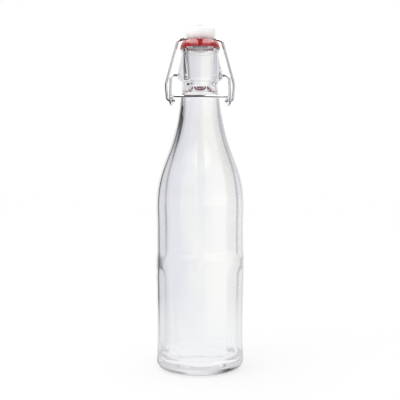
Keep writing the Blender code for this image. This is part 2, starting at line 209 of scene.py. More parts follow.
def level_ring(radius: float | np.ndarray, z: float, angles: np.ndarray) -> np.ndarray:
    """Return a level ring of points about the bottle's axis.

    Args:
        radius: the ring's radius, or its radius at each angle, or 0 for the one point on the axis.
        z: the ring's height.
        angles: where its points lie round the axis.

    Returns:
        The points, one a row.
    """
    if not np.any(radius):
        return np.array([[0.0, 0.0, z]])
    return np.stack([radius * np.cos(angles), radius * np.sin(angles), np.full(len(angles), z)], axis=1)


def add_object(name: str, data: bpy.types.ID) -> Piece:
    """Link a new object to the scene.

    Args:
        name: the object's name.
        data: its mesh, light or camera.

    Returns:
        The object.
    """
    thing = bpy.data.objects.new(name, data)
    bpy.context.scene.collection.objects.link(thing)
    return thing


def skin_of_rings(name: str, rings: list[np.ndarray], closed: bool = False) -> Piece:
    """Join rings of points into a skin.

    Args:
        name: the new object's name.
        rings: arrays of points, each with as many rows as the others or just one.
        closed: whether the last ring is joined to the first.

    Returns:
        The new object, linked to the scene.
    """
    starts = np.cumsum([0] + [len(ring) for ring in rings])
    faces = []
    for low in range(len(rings) if closed else len(rings) - 1):
        high = (low + 1) % len(rings)
        many = max(len(rings[low]), len(rings[high]))
        here = [starts[low] + column % len(rings[low]) for column in range(many)]
        there = [starts[high] + column % len(rings[high]) for column in range(many)]
        for column in range(many):
            after = (column + 1) % many
            corners = [here[column], here[after], there[after], there[column]]
            faces.append([int(corner) for corner in dict.fromkeys(corners)])
    mesh = bpy.data.meshes.new(name)
    mesh.from_pydata([tuple(point) for ring in rings for point in ring.tolist()], [], faces)
    mesh.validate()
    return add_object(name, mesh)


def turned(name: str, pen: Pen, sides: int, closed: bool = False) -> Piece:
    """Turn a pen's outline about the bottle's axis into a new object."""
    return skin_of_rings(name, [level_ring(*point, even_angles(sides)) for point in pen.points], closed)


def bore_through(piece: Piece, radius: float, ends: Span, height: float, sides: int = 48) -> None:
    """Cut a round hole along X out of a piece.

    Args:
        piece: what is cut.
        radius: the hole's radius.
        ends: the hole's lowest and highest x.
        height: how high the hole's middle lies.
        sides: how many sides the hole has.
    """
    across = radius * np.cos(even_angles(sides))
    up = height + radius * np.sin(even_angles(sides))
    middles = [np.array([[x, 0.0, height]]) for x in ends]
    walls = [np.stack([np.full(sides, x), across, up], axis=1) for x in ends]
    cutter = skin_of_rings("cutter", [middles[0], *walls, middles[1]])
    modifier = piece.modifiers.new("bore", "BOOLEAN")
    modifier.operation = "DIFFERENCE"
    modifier.solver = "EXACT"
    modifier.object = cutter
    bpy.context.view_layer.update()
    cut = bpy.data.meshes.new_from_object(piece.evaluated_get(bpy.context.evaluated_depsgraph_get()))
    piece.modifiers.remove(modifier)
    cut.name = piece.name
    piece.data = cut
    bpy.data.objects.remove(cutter, do_unlink=True)


def rounded_path(corners: list[Vector], bends: list[float], step_degrees: float) -> list[Vector]:
    """Round each inner corner of a path with an arc.

    Args:
        corners: the path's corners, its two ends included.
        bends: the bend radius at each inner corner.
        step_degrees: the most that one chord of an arc turns.

    Returns:
        The path's points.
    """
    points = [corners[0]]
    for before, corner, after, bend in zip(corners, corners[1:], corners[2:], bends):
        back = (before - corner).normalized()
        ahead = (after - corner).normalized()
        turn = math.pi - back.angle(ahead)
        reach = bend * math.tan(turn / 2)
        middle = corner + (back + ahead).normalized() * (bend / math.cos(turn / 2))
        start = corner + back * reach - middle
        axis = start.cross(corner + ahead * reach - middle)
        steps = max(2, math.ceil(turn / math.radians(step_degrees)))
        turns = [Matrix.Rotation(turn * step / steps, 3, axis) for step in range(steps + 1)]
        points += [middle + turned_by @ start for turned_by in turns]
    return points + [corners[-1]]


def evenly_spaced(points: list[Vector], longest: float) -> list[Vector]:
    """Split a path's long chords.

    Args:
        points: the path.
        longest: how long a chord may be.

    Returns:
        The path with more points.
    """
    path = [points[0]]
    for before, after in zip(points, points[1:]):
        parts = max(1, math.ceil((after - before).length / longest))
        path += [before.lerp(after, part / parts) for part in range(1, parts + 1)]
    return path


def wire_along(name: str, points: list[Vector], radius: float, sides: int, chamfer: float) -> Piece:
    """Sweep a round wire along a path, with its cut ends chamfered.

    Args:
        name: the new object's name.
        points: the wire's middle line.
        radius: the wire's radius.
        sides: how many sides the wire has.
        chamfer: how much the cut ends are broken.

    Returns:
        The new object. Its UV map runs round the wire in u and along it in v, both in metres.
    """
    chords = [(b - a).normalized() for a, b in zip(points, points[1:])]
    tangents = [chords[0]] + [(a + b).normalized() for a, b in zip(chords, chords[1:])] + [chords[-1]]
    across = tangents[0].orthogonal().normalized()
    stations = []
    travelled = 0.0
    for before, point, tangent in zip([points[0]] + points, points, tangents):
        across = (across - tangent * across.dot(tangent)).normalized()
        travelled += (point - before).length
        stations.append((point, tangent, across.copy(), travelled))
    first, last = stations[0], stations[-1]
    rings = [(first, 0.0, 0.0), (first, radius - chamfer, 0.0), (first, radius, chamfer)]
    rings += [(station, radius, 0.0) for station in stations[1:-1]]
    rings += [(last, radius, -chamfer), (last, radius - chamfer, 0.0), (last, 0.0, 0.0)]
    turns = [2 * math.pi * side / sides for side in range(sides)]
    skins = []
    marks = []
    for (point, tangent, side_way, length), wide, shift in rings:
        middle = point + tangent * shift
        up = tangent.cross(side_way)
        spread = turns if wide else turns[:1]
        ways = [side_way * math.cos(t) + up * math.sin(t) for t in spread]
        skins.append(np.array([middle + way * wide for way in ways]))
        marks += [(radius * t, length + shift) for t in spread]
    wire = skin_of_rings(name, skins)
    layer = wire.data.uv_layers.new(name="along_wire")
    for loop in wire.data.loops:
        layer.data[loop.index].uv = marks[loop.vertex_index]
    return wire


class NodeBench:
    """Adds the nodes of one material or world and joins them."""

    def __init__(self, tree: bpy.types.NodeTree) -> None:
        """Clear a node tree for new nodes."""
        self.tree = tree
        tree.nodes.clear()

    def add(self, kind: str, sockets: Sockets | None = None, **settings: str) -> bpy.types.Node:
        """Add a node.

        Args:
            kind: the node's type in Blender.
            sockets: the values or the joined sockets of its inputs, by name or number.
            settings: the node's own settings.

        Returns:
            The node.
        """
        node = self.tree.nodes.new(kind)
        for name, value in settings.items():
            setattr(node, name, value)
        for name, value in (sockets or {}).items():
            socket = node.inputs[name]
            if isinstance(value, Socket):
                self.tree.links.new(value, socket)
            else:
                socket.default_value = (*value, 1.0) if socket.type == "RGBA" else value
        return node

    def mathematics(self, operation: str, first: object, second: object = 0.0) -> Socket:
        """Return the result of a Math node on two values or sockets."""
        return self.add("ShaderNodeMath", {0: first, 1: second}, operation=operation).outputs[0]

    def multiplied(self, colour: Socket, factor: Socket) -> Socket:
        """Return a colour made brighter or darker by a factor."""
        return self.add("ShaderNodeVectorMath", {0: colour, 1: factor}, operation="MULTIPLY").outputs[0]

    def mix(self, share: Socket, first: object, second: object) -> Socket:
        """Return a colour between two others, the second one where the share is 1."""
        return self.add("ShaderNodeMix", {0: share, 6: first, 7: second}, data_type="RGBA").outputs[2]

    def between(self, value: Socket, low: float, high: float, first: float = 0, last: float = 1) -> Socket:
        """Return what runs from first to last while a value runs from low to high."""
        limits = {"Value": value, "From Min": low, "From Max": high, "To Min": first, "To Max": last}
        return self.add("ShaderNodeMapRange", limits).outputs["Result"]

    def ramp(self, share: Socket, stops: list[tuple[float, Triple]]) -> Socket:
        """Return a colour that follows a share.

        Args:
            share: the socket that runs from 0 to 1.
            stops: places along the share with the colour there, lowest first.

        Returns:
            The socket with the colour.
        """
        node = self.add("ShaderNodeValToRGB", {0: share})
        elements = node.color_ramp.elements
        while len(elements) < len(stops):
            elements.new(0.5)
        for element, (place, colour) in zip(elements, stops):
            element.position = place
            element.color = (*colour, 1.0)
        return node.outputs["Color"]

    def place(self, kind: str) -> Socket:
        """Return where the surface or the sky is met, in coordinates of a kind."""
        return self.add("ShaderNodeTexCoord").outputs[kind]

    def ray(self, fact: str) -> Socket:
        """Return a fact about the ray that meets the surface or the sky."""
        return self.add("ShaderNodeLightPath").outputs[fact]

    def glassy(self) -> Socket:
        """Return 1 for a ray that glass or wire sends on."""
        return self.mathematics("MAXIMUM", self.ray("Is Glossy Ray"), self.ray("Is Transmission Ray"))

    def outside(self) -> Socket:
        """Return 1 for a ray that hasn't been through glass."""
        return self.mathematics("LESS_THAN", self.ray("Transmission Depth"), ONE_BOUNCE)

    def mirrored(self, bounces: float = ONE_BOUNCE) -> Socket:
        """Return 1 for a ray that was mirrored more times than a number."""
        return self.mathematics("GREATER_THAN", self.ray("Glossy Depth"), bounces)

    def noise(self, place: Socket, scale: float, detail: float = 2.0) -> Socket:
        """Return a noise's value at a place."""
        sockets = {"Vector": place, "Scale": scale, "Detail": detail}
        return self.add("ShaderNodeTexNoise", sockets).outputs["Fac"]

    def stretched(self, place: Socket, scale: Triple) -> Socket:
        """Return a place scaled along its axes."""
        return self.add("ShaderNodeMapping", {"Vector": place, "Scale": scale}).outputs["Vector"]

    def bump(self, height: Socket, strength: float, distance: float) -> Socket:
        """Return a normal that follows a height map."""
        sockets = {"Height": height, "Strength": strength, "Distance": distance}
        return self.add("ShaderNodeBump", sockets).outputs["Normal"]

    def surface(self, shader: bpy.types.Node) -> None:
        """Give a shader to the material's surface."""
        self.add("ShaderNodeOutputMaterial", {"Surface": shader.outputs[0]})


def new_material(name: str) -> tuple[bpy.types.Material, NodeBench]:
    """Make an empty material.

    Args:
        name: the material's name.

    Returns:
        The material and the bench for its nodes.
    """
    material = bpy.data.materials.new(name)
    material.use_nodes = True
    return material, NodeBench(material.node_tree)


@dataclass(frozen=True)
class FlintGlass:
    """Clear bottle glass: smooth, with the faint ripple that a mould leaves."""

    tint: Triple = (0.985, 0.988, 0.995)
    refraction: float = 1.52
    ripple_scale: float = 55.0
    ripple_stretch: Triple = (1.0, 1.0, 0.35)
    ripple_strength: float = 0.12
    ripple_depth: float = 0.06 * MM
    polish_scale: float = 90.0
    clean_roughness: float = 0.0
    handled_roughness: float = 0.012
    # Painted glow: an even grey that the glass emits in place of what a ray mirrored many times would meet
    deep_painted_glow: Triple = (0.72, 0.72, 0.75)
    clear_mirrorings: float = 3.5

    def material(self, name: str) -> bpy.types.Material:
        """Mix the glass, with its ripple, its uneven polish and a painted glow: an even grey that it emits
        to rays mirrored more than clear_mirrorings times.

        Args:
            name: the new material's name.

        Returns:
            The material.
        """
        material, bench = new_material(name)
        place = bench.place("Object")
        ripple = bench.noise(bench.stretched(place, self.ripple_stretch), self.ripple_scale)
        polish = bench.noise(place, self.polish_scale)
        clear = bench.add("ShaderNodeBsdfPrincipled", {
            "Base Color": self.tint,
            "Roughness": bench.between(polish, 0.0, 1.0, self.clean_roughness, self.handled_roughness),
            "IOR": self.refraction,
            "Transmission Weight": 1.0,
            "Normal": bench.bump(ripple, self.ripple_strength, self.ripple_depth),
        })
        # This emission is a painted glow for rays mirrored more than clear_mirrorings times
        deep = bench.add("ShaderNodeEmission", {"Color": self.deep_painted_glow})
        sockets = {0: bench.mirrored(self.clear_mirrorings), 1: clear.outputs[0], 2: deep.outputs[0]}
        bench.surface(bench.add("ShaderNodeMixShader", sockets))
        return material


@dataclass(frozen=True)
class MottledFinish:
    """A finish whose colour and roughness drift together from first to last, over a fine grain."""

    first_colour: Triple
    last_colour: Triple
    first_roughness: float
    last_roughness: float
    mottle_scale: float
    mottle_detail: float
    grain_scale: float
    grain_strength: float
    grain_depth: float

    def grain_place(self, bench: NodeBench) -> Socket:
        """Return the place that the grain is laid out by."""
        return bench.place("Object")

    def own_sockets(self) -> Sockets:
        """Return the finish's other values by the shader's sockets."""
        return {}

    def material(self, name: str) -> bpy.types.Material:
        """Mix the finish.

        Args:
            name: the new material's name.

        Returns:
            The material.
        """
        material, bench = new_material(name)
        mottle = bench.noise(bench.place("Object"), self.mottle_scale, self.mottle_detail)
        grain = bench.noise(self.grain_place(bench), self.grain_scale)
        bench.surface(bench.add("ShaderNodeBsdfPrincipled", {
            "Base Color": bench.mix(mottle, self.first_colour, self.last_colour),
            "Roughness": bench.between(mottle, 0.0, 1.0, self.first_roughness, self.last_roughness),
            "Normal": bench.bump(grain, self.grain_strength, self.grain_depth),
            **self.own_sockets(),
        }))
        return material


@dataclass(frozen=True)
class SoakedFinish(MottledFinish):
    """A mottled finish that light soaks into."""

    soak: float
    soak_depths: Triple
    refraction: float
    gloss: float

    def own_sockets(self) -> Sockets:
        """Return the finish's other values by the shader's sockets."""
        return {
            "Subsurface Weight": self.soak,
            "Subsurface Radius": self.soak_depths,
            "Subsurface Scale": 1.0,
            "IOR": self.refraction,
            "Specular IOR Level": self.gloss,
        }


@dataclass(frozen=True)
class StopperPlastic(SoakedFinish):
    """Moulded white plastic with a satin skin of orange peel."""

    first_colour: Triple = (0.94, 0.94, 0.95)
    last_colour: Triple = (0.96, 0.96, 0.965)
    first_roughness: float = 0.24
    last_roughness: float = 0.36
    mottle_scale: float = 160.0
    mottle_detail: float = 3.0
    grain_scale: float = 900.0
    grain_strength: float = 0.15
    grain_depth: float = 0.04 * MM
    soak: float = 1.0
    soak_depths: Triple = (12 * MM, 12 * MM, 12 * MM)
    refraction: float = 1.49
    gloss: float = 0.5


@dataclass(frozen=True)
class SealRubber(SoakedFinish):
    """Glossy red sealing rubber with a cloudy colour."""

    first_colour: Triple = (0.34, 0.003, 0.006)
    last_colour: Triple = (0.42, 0.006, 0.010)
    first_roughness: float = 0.06
    last_roughness: float = 0.14
    mottle_scale: float = 240.0
    mottle_detail: float = 3.0
    grain_scale: float = 2200.0
    grain_strength: float = 0.2
    grain_depth: float = 0.03 * MM
    soak: float = 0.2
    soak_depths: Triple = (2 * MM, 0.4 * MM, 0.4 * MM)
    refraction: float = 1.6
    gloss: float = 0.75


@dataclass(frozen=True)
class DrawnSteel(MottledFinish):
    """Bright drawn wire with dull patches, and fine lines along it from the die."""

    first_colour: Triple = (0.78, 0.78, 0.81)
    last_colour: Triple = (0.90, 0.90, 0.92)
    first_roughness: float = 0.12
    last_roughness: float = 0.04
    mottle_scale: float = 130.0
    mottle_detail: float = 4.0
    grain_scale: float = 9000.0
    grain_strength: float = 0.08
    grain_depth: float = 0.01 * MM
    die_stretch: Triple = (1.0, 0.04, 1.0)

    def grain_place(self, bench: NodeBench) -> Socket:
        """Return the place that the die's lines are laid out by."""
        return bench.stretched(bench.place("UV"), self.die_stretch)

    def own_sockets(self) -> Sockets:
        """Return the finish's other values by the shader's sockets."""
        return {"Metallic": 1.0}


@dataclass
class Dressing:
    """What a finished piece is dressed with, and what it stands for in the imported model."""

    material: bpy.types.Material
    sharp_from: float
    body: Body
    node: str
    slot: Slot

    def put_on(self, piece: Piece) -> None:
        """Dress a piece, smooth but for its sharp edges, and let it stand for its node.

        Args:
            piece: the finished piece.
        """
        piece.data.shade_smooth()
        piece.data.set_sharp_from_angle(angle=math.radians(self.sharp_from))
        piece.data.materials.clear()
        piece.data.materials.append(self.material)
        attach(piece, self.body.value)
        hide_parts(self.node)
        LOG.info("%s: %d faces, moves with %s", piece.name, len(piece.data.polygons), self.body.value)


@dataclass
class PanelledGlass:
    """The glass: panelled body, round belt, shoulder, neck with its lugs, lip, bore and base."""

    belt_low: float = 70.5 * MM
    belt_height: float = 16.5 * MM
    belt_rise: float = 0.15 * MM
    belt_edge: float = 5.0 * MM
    upper_body_height: float = 39.0 * MM
    heel_radius: float = 7.2 * MM
    heel_band_inset: float = 0.45 * MM
    waist_height: float = 24.0 * MM
    waist_inset: float = 0.85 * MM
    lower_inset: float = 0.15 * MM
    upper_inset: float = 0.35 * MM
    ring_pitch: float = 1.2 * MM
    shoulder_height: float = 82.0 * MM
    shoulder_swell: float = 14.0 * MM
    shoulder_pull: float = 35.0 * MM
    neck_pull: float = 47.5 * MM
    neck_base_radius: float = 15.6 * MM
    neck_base_lean: float = 0.12
    neck_radius: float = 14.0 * MM
    neck_taper_height: float = 13.0 * MM
    panel_count: int = 8
    panel_climb: float = 8.5 * MM
    panel_depth: float = 1.0 * MM
    panel_run_out: float = 6.0 * MM
    panel_softness: float = 0.5 * MM
    panel_fade_height: float = 70.0 * MM
    inner_panel_share: float = 0.85
    lip_radius: float = 14.7 * MM
    lip_height: float = 5.4 * MM
    lip_top_fillet: float = 2.2 * MM
    lip_under_fillet: float = 0.5 * MM
    mouth_radius: float = 11.0 * MM
    mouth_fillet: float = 1.0 * MM
    bore_low_radius: float = 9.8 * MM
    choke_radius: float = 7.7 * MM
    choke_depth: float = 31.6 * MM
    choke_entry: float = 6.0 * MM
    choke_fillet: float = 0.6 * MM
    throat_radius: float = 12.8 * MM
    flare_length: float = 6.0 * MM
    throat_pull: float = 45.0 * MM
    cavity_pull: float = 38.0 * MM
    body_wall: float = 2.8 * MM
    foot_width: float = 4.0 * MM
    push_up: float = 3.2 * MM
    floor_thickness: float = 4.6 * MM
    inner_heel_radius: float = 9.0 * MM
    lug_radius: float = 4.6 * MM
    lug_reach: float = 4.1 * MM
    lug_tip_radius: float = 1.4 * MM
    lug_tip_reach: float = 0.5 * MM
    lug_tip_rise: float = 14.8 * MM
    lug_blend: float = 1.2 * MM
    lug_search_rounds: int = 28
    socket_depth: float = 3.2 * MM
    socket_radius: float = 1.2 * MM
    wander: float = 0.10 * MM
    # Waves round the inner wall, their twist up the bottle, their phase and their share
    wander_waves: tuple[tuple[int, float, float, float], ...] = (
        (2, 1.3, 0.6, 1.0), (3, -2.1, 0.0, 0.6), (7, 3.0, 1.9, 0.35),
    )
    columns: int = 192
    sharp_from: float = 50.0
    finish: FlintGlass = FlintGlass()

    def __post_init__(self) -> None:
        """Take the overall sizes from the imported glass."""
        low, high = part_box("glass_bottle")
        self.lip_top = high.z
        self.body_radius = (high.y - low.y) / 2 - self.belt_rise
        self.belt_top = self.belt_low + self.belt_height
        self.body_top = self.belt_top + self.upper_body_height
        self.shoulder_top = self.body_top + self.shoulder_height
        self.pivot = Hinge.LEVER.height()
        self.angles = even_angles(self.columns)

    def wall_radius(self, z: float) -> float:
        """Follow the body's round outline from heel to shoulder.

        Args:
            z: a height.

        Returns:
            The outline's radius there.
        """
        stations = (
            (self.heel_radius, -self.heel_band_inset),
            (self.waist_height, -self.waist_inset),
            (self.belt_low - self.belt_edge, -self.lower_inset),
            (self.belt_low, self.belt_rise),
            (self.belt_top, self.belt_rise),
            (self.belt_top + self.belt_edge, -self.upper_inset),
            (self.body_top - self.shoulder_swell, -self.upper_inset),
            (self.body_top, 0.0),
        )
        rise = stations[0][1]
        for (low, low_rise), (high, high_rise) in zip(stations, stations[1:]):
            rise += (high_rise - low_rise) * smooth_step(low, high, z)
        return self.body_radius + rise

    def run_out(self, distance: float) -> float:
        """Return how deep a panel is, as a share, at a distance inside its end."""
        t = min(max(distance / self.panel_run_out, 0.0), 1.0)
        return 1 - (1 - t) ** 2

    def panel_depth_at(self, radius: float, z: float) -> float:
        """Find how far the panels' middles are drawn in at a height.

        Args:
            radius: the round outline's radius there.
            z: the height.

        Returns:
            The panels' depth there.
        """
        lower_top = self.belt_low + self.panel_climb
        if z < lower_top:
            share = min(self.run_out(lower_top - z), self.run_out(z - self.heel_radius))
        else:
            fade = smooth_step(self.body_top, self.body_top + self.panel_fade_height, z)
            share = self.run_out(z - self.belt_top) * (1 - fade)
        return self.panel_depth * share * radius / self.body_radius

    def panelled(self, radius: float, depth: float) -> np.ndarray:
        """Cut flat panels softly into a round outline.

        Args:
            radius: the round outline's radius.
            depth: how far the panels' middles are drawn in.

        Returns:
            The radius in each column.
        """
        plain = np.full(self.columns, radius)
        if depth <= 0:
            return plain
        pitch = 2 * math.pi / self.panel_count
        flat = (radius - depth) / np.cos(self.angles % pitch - pitch / 2)
        return soft_least(plain, flat, self.panel_softness)

    def wandering(self, z: float) -> np.ndarray:
        """Let the inner wall stray, as blown glass settles unevenly.

        Args:
            z: the height.

        Returns:
            How far the wall strays in each column.
        """
        turn = 2 * math.pi * z / self.lip_top
        strays = np.zeros(self.columns)
        for count, twist, phase, share in self.wander_waves:
            strays += share * np.sin(count * self.angles + twist * turn + phase)
        return self.wander * strays

    def lug_distance(self, points: np.ndarray) -> np.ndarray:
        """Measure points from a lug, a round cone between two balls.

        Args:
            points: places with x measured towards the lug's side.

        Returns:
            The distance of each point, below zero inside.
        """
        low = np.array([self.neck_radius + self.lug_reach - self.lug_radius, 0.0, self.pivot])
        tip_x = self.neck_radius + self.lug_tip_reach - self.lug_tip_radius
        axis = np.array([tip_x, 0.0, self.pivot + self.lug_tip_rise]) - low
        length = np.linalg.norm(axis)
        axis = axis / length
        slope = (self.lug_radius - self.lug_tip_radius) / length
        from_low = points - low
        along = from_low @ axis
        off = np.linalg.norm(from_low - along[..., None] * axis, axis=-1)
        lean = slope / math.sqrt(1 - slope * slope)
        share = np.clip((along + off * lean) / length, 0.0, 1.0)
        nearest = low + share[..., None] * axis * length
        ball = self.lug_radius + (self.lug_tip_radius - self.lug_radius) * share
        return np.linalg.norm(points - nearest, axis=-1) - ball

    def with_lugs(self, radii: np.ndarray, z: float) -> np.ndarray:
        """Blend the two lugs into a ring of the neck.

        Args:
            radii: the plain neck's radius in each column.
            z: the ring's height.

        Returns:
            The radius of neck or lug in each column.
        """
        near = radii - self.lug_blend
        far = radii + self.lug_reach + self.lug_blend
        for _ in range(self.lug_search_rounds):
            middle = (near + far) / 2
            spots = level_ring(middle, z, self.angles)
            spots[:, 0] = np.abs(spots[:, 0])
            inside = soft_least(middle - radii, self.lug_distance(spots), self.lug_blend) < 0
            near = np.where(inside, middle, near)
            far = np.where(inside, far, middle)
        return (near + far) / 2

    def draw_base_and_body(self, pen: Pen) -> None:
        """Draw the outside from the middle of the push-up, round the heel and up the body.

        Args:
            pen: the pen, on the middle of the push-up.
        """
        foot_outer = self.body_radius - self.heel_band_inset - self.heel_radius
        foot_inner = foot_outer - self.foot_width
        pen.curve((foot_inner / 2, self.push_up), (foot_inner * 3 / 4, 0), (foot_inner, 0), steps=16)
        pen.arc((foot_outer, self.heel_radius), self.heel_radius, 270, 360, steps=16)
        rings = math.ceil((self.body_top - self.heel_radius) / self.ring_pitch)
        pen.follow(self.wall_radius, self.body_top, rings)

    def draw_shoulder(self, pen: Pen) -> None:
        """Draw the outside of the shoulder and the neck's taper, up to the straight neck.

        Args:
            pen: the pen, at the top of the body.
        """
        base, neck, top = self.neck_base_radius, self.neck_radius, self.shoulder_top
        leaving = (self.body_radius, self.body_top + self.shoulder_pull)
        arriving = (base + self.neck_base_lean * self.neck_pull, top - self.neck_pull)
        pen.curve(leaving, arriving, (base, top), steps=56)
        half = self.neck_taper_height / 2
        end = (neck, top + self.neck_taper_height)
        pen.curve((base - self.neck_base_lean * half, top + half), (neck, end[1] - half), end, steps=20)

    def draw_neck(self, pen: Pen) -> None:
        """Draw the outside of the straight neck and the lip.

        Args:
            pen: the pen, at the foot of the straight neck.
        """
        under, top = self.lip_under_fillet, self.lip_top_fillet
        lip_low = self.lip_top - self.lip_height
        pen.line((self.neck_radius, lip_low - under), steps=44)
        pen.arc((self.lip_radius - under, lip_low), under, 270, 360, steps=6)
        pen.arc((self.lip_radius - top, self.lip_top - top), top, 0, 90, steps=12)

    def draw_bore(self, pen: Pen) -> None:
        """Draw the inside from the mouth, down the tapered bore and past the choke to the throat.

        Args:
            pen: the pen, nowhere yet.
        """
        edge, soft, choke = self.mouth_fillet, self.choke_fillet, self.choke_radius
        choke_z = self.lip_top - self.choke_depth
        entry = (self.bore_low_radius, choke_z + self.choke_entry)
        half = self.choke_entry / 2
        slope = (self.throat_radius - choke) / self.flare_length
        pen.arc((self.mouth_radius + edge, self.lip_top - edge), edge, 90, 180, steps=8)
        pen.line(entry, steps=18)
        pen.curve((entry[0], entry[1] - half), (choke, choke_z + half), (choke, choke_z + soft), steps=12)
        pen.curve((choke, choke_z), (choke, choke_z), (choke + soft * slope, choke_z - soft), steps=6)
        pen.line((self.throat_radius, choke_z - self.flare_length), steps=16)

    def draw_cavity(self, pen: Pen) -> None:
        """Draw the inside from the throat down to the middle of the floor.

        Args:
            pen: the pen, at the throat.
        """
        throat, throat_z = pen.points[-1]
        body = self.body_radius - self.body_wall
        arriving = (body, self.body_top + self.cavity_pull)
        pen.curve((throat, throat_z - self.throat_pull), arriving, (body, self.body_top), steps=50)
        floor_z = self.push_up + self.floor_thickness
        heel_top = floor_z + self.inner_heel_radius - self.push_up / 2
        pen.follow(lambda z: self.wall_radius(z) - self.body_wall, heel_top, steps=72)
        heel_middle = pen.points[-1][0] - self.inner_heel_radius
        pen.arc((heel_middle, heel_top), self.inner_heel_radius, 360, 270, steps=16)
        edge, edge_z = pen.points[-1]
        pen.curve((edge * 3 / 4, edge_z), (edge / 2, floor_z), (0, floor_z), steps=14)

    def outer_radii(self, radius: float, z: float) -> np.ndarray:
        """Give the outside its panels and lugs.

        Args:
            radius: the round outline's radius.
            z: the height.

        Returns:
            The outside's radius in each column.
        """
        if z <= self.heel_radius or z > self.lip_top - self.lip_height:
            return np.full(self.columns, radius)
        radii = self.panelled(radius, self.panel_depth_at(radius, z))
        lug_low = self.pivot - self.lug_radius - self.lug_blend
        return self.with_lugs(radii, z) if z > lug_low else radii

    def inner_radii(self, radius: float, z: float) -> np.ndarray:
        """Give the inside its soft panels and the blown wall's wander.

        Args:
            radius: the round outline's radius.
            z: the height.

        Returns:
            The inside's radius in each column.
        """
        depth = self.panel_depth_at(radius, z) * self.inner_panel_share
        radii = self.panelled(radius, depth if z > self.heel_radius else 0.0)
        strays = smooth_step(self.heel_radius, self.waist_height, z)
        strays *= 1 - smooth_step(self.shoulder_top - self.neck_pull, self.shoulder_top, z)
        return radii + self.wandering(z) * strays

    def build(self) -> None:
        """Build the glass and cut the lever's sockets."""
        outside, inside = Pen((0.0, self.push_up)), Pen()
        for draw in (self.draw_base_and_body, self.draw_shoulder, self.draw_neck):
            draw(outside)
        for draw in (self.draw_bore, self.draw_cavity):
            draw(inside)
        rings = []
        for pen, radii_at in ((outside, self.outer_radii), (inside, self.inner_radii)):
            for radius, z in pen.points:
                rings.append(level_ring(radii_at(radius, z) if radius else 0.0, z, self.angles))
        glass = skin_of_rings("glass", rings)
        face = self.neck_radius + self.lug_reach
        for side in Side:
            ends = sorted(side.value * (face + depth) for depth in (-self.socket_depth, self.socket_depth))
            bore_through(glass, self.socket_radius, tuple(ends), self.pivot)
        material = self.finish.material("clear_glass")
        Dressing(material, self.sharp_from, Body.GLASS, "glass_bottle", Slot.CLEAR_GLASS).put_on(glass)


@dataclass
class Stopper:
    """The moulded head that closes the mouth, with its stem and its retaining button."""

    head_radius: float = 12.2 * MM
    head_top_radius: float = 8.8 * MM
    head_base_radius: float = 6.2 * MM
    head_widest_share: float = 0.7
    dome_rise_share: float = 0.4
    dome_spread_share: float = 0.3
    bowl_drop_share: float = 0.52
    bowl_spread_share: float = 0.65
    stem_radius: float = 4.6 * MM
    button_radius: float = 6.3 * MM
    button_height: float = 3.4 * MM
    button_tip_radius: float = 4.2 * MM
    seat_gap: float = 0.3 * MM
    cross_hole_radius: float = 1.15 * MM
    sides: int = 128
    sharp_from: float = 40.0
    finish: StopperPlastic = StopperPlastic()

    def draw_button(self, pen: Pen) -> None:
        """Draw the button from the middle of its tip to the stem.

        Args:
            pen: the pen, on the middle of the tip.
        """
        low = pen.points[-1][1]
        top = low + self.button_height
        soft = self.button_height / 4
        pen.line((self.button_tip_radius, low), steps=4)
        widest = (self.button_radius, top - soft)
        pen.curve((self.button_tip_radius + soft, low), (widest[0], top - soft * 3), widest, steps=10)
        pen.arc((self.button_radius - soft, top - soft), soft, 0, 90, steps=6)
        pen.line((self.stem_radius, top))

    def draw_head(self, pen: Pen, top: float) -> None:
        """Draw the stem, the head's bowl and its dome.

        Args:
            pen: the pen, at the top of the button.
            top: the head's top.
        """
        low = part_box("gasket")[1].z + self.seat_gap
        widest = low + (top - low) * self.head_widest_share
        base, side, crown = self.head_base_radius, self.head_radius, self.head_top_radius
        pen.line((self.stem_radius, low))
        pen.line((base, low), steps=4)
        leaving = (base + (side - base) * self.bowl_spread_share, low)
        arriving = (side, widest - (widest - low) * self.bowl_drop_share)
        pen.curve(leaving, arriving, (side, widest), steps=24)
        leaving = (side, widest + (top - widest) * self.dome_rise_share)
        arriving = (crown + (side - crown) * self.dome_spread_share, top)
        pen.curve(leaving, arriving, (crown, top), steps=16)
        pen.line((0, top), steps=4)

    def build(self) -> None:
        """Build the stopper and bore its cross hole."""
        low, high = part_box("stopper")
        pen = Pen((0.0, low.z))
        self.draw_button(pen)
        self.draw_head(pen, high.z)
        stopper = turned("stopper_head", pen, self.sides)
        end = self.head_radius + self.stem_radius
        bore_through(stopper, self.cross_hole_radius, (-end, end), Hinge.STOPPER.height())
        material = self.finish.material("white_plastic")
        Dressing(material, self.sharp_from, Body.STOPPER, "stopper", Slot.WHITE_PLASTIC).put_on(stopper)


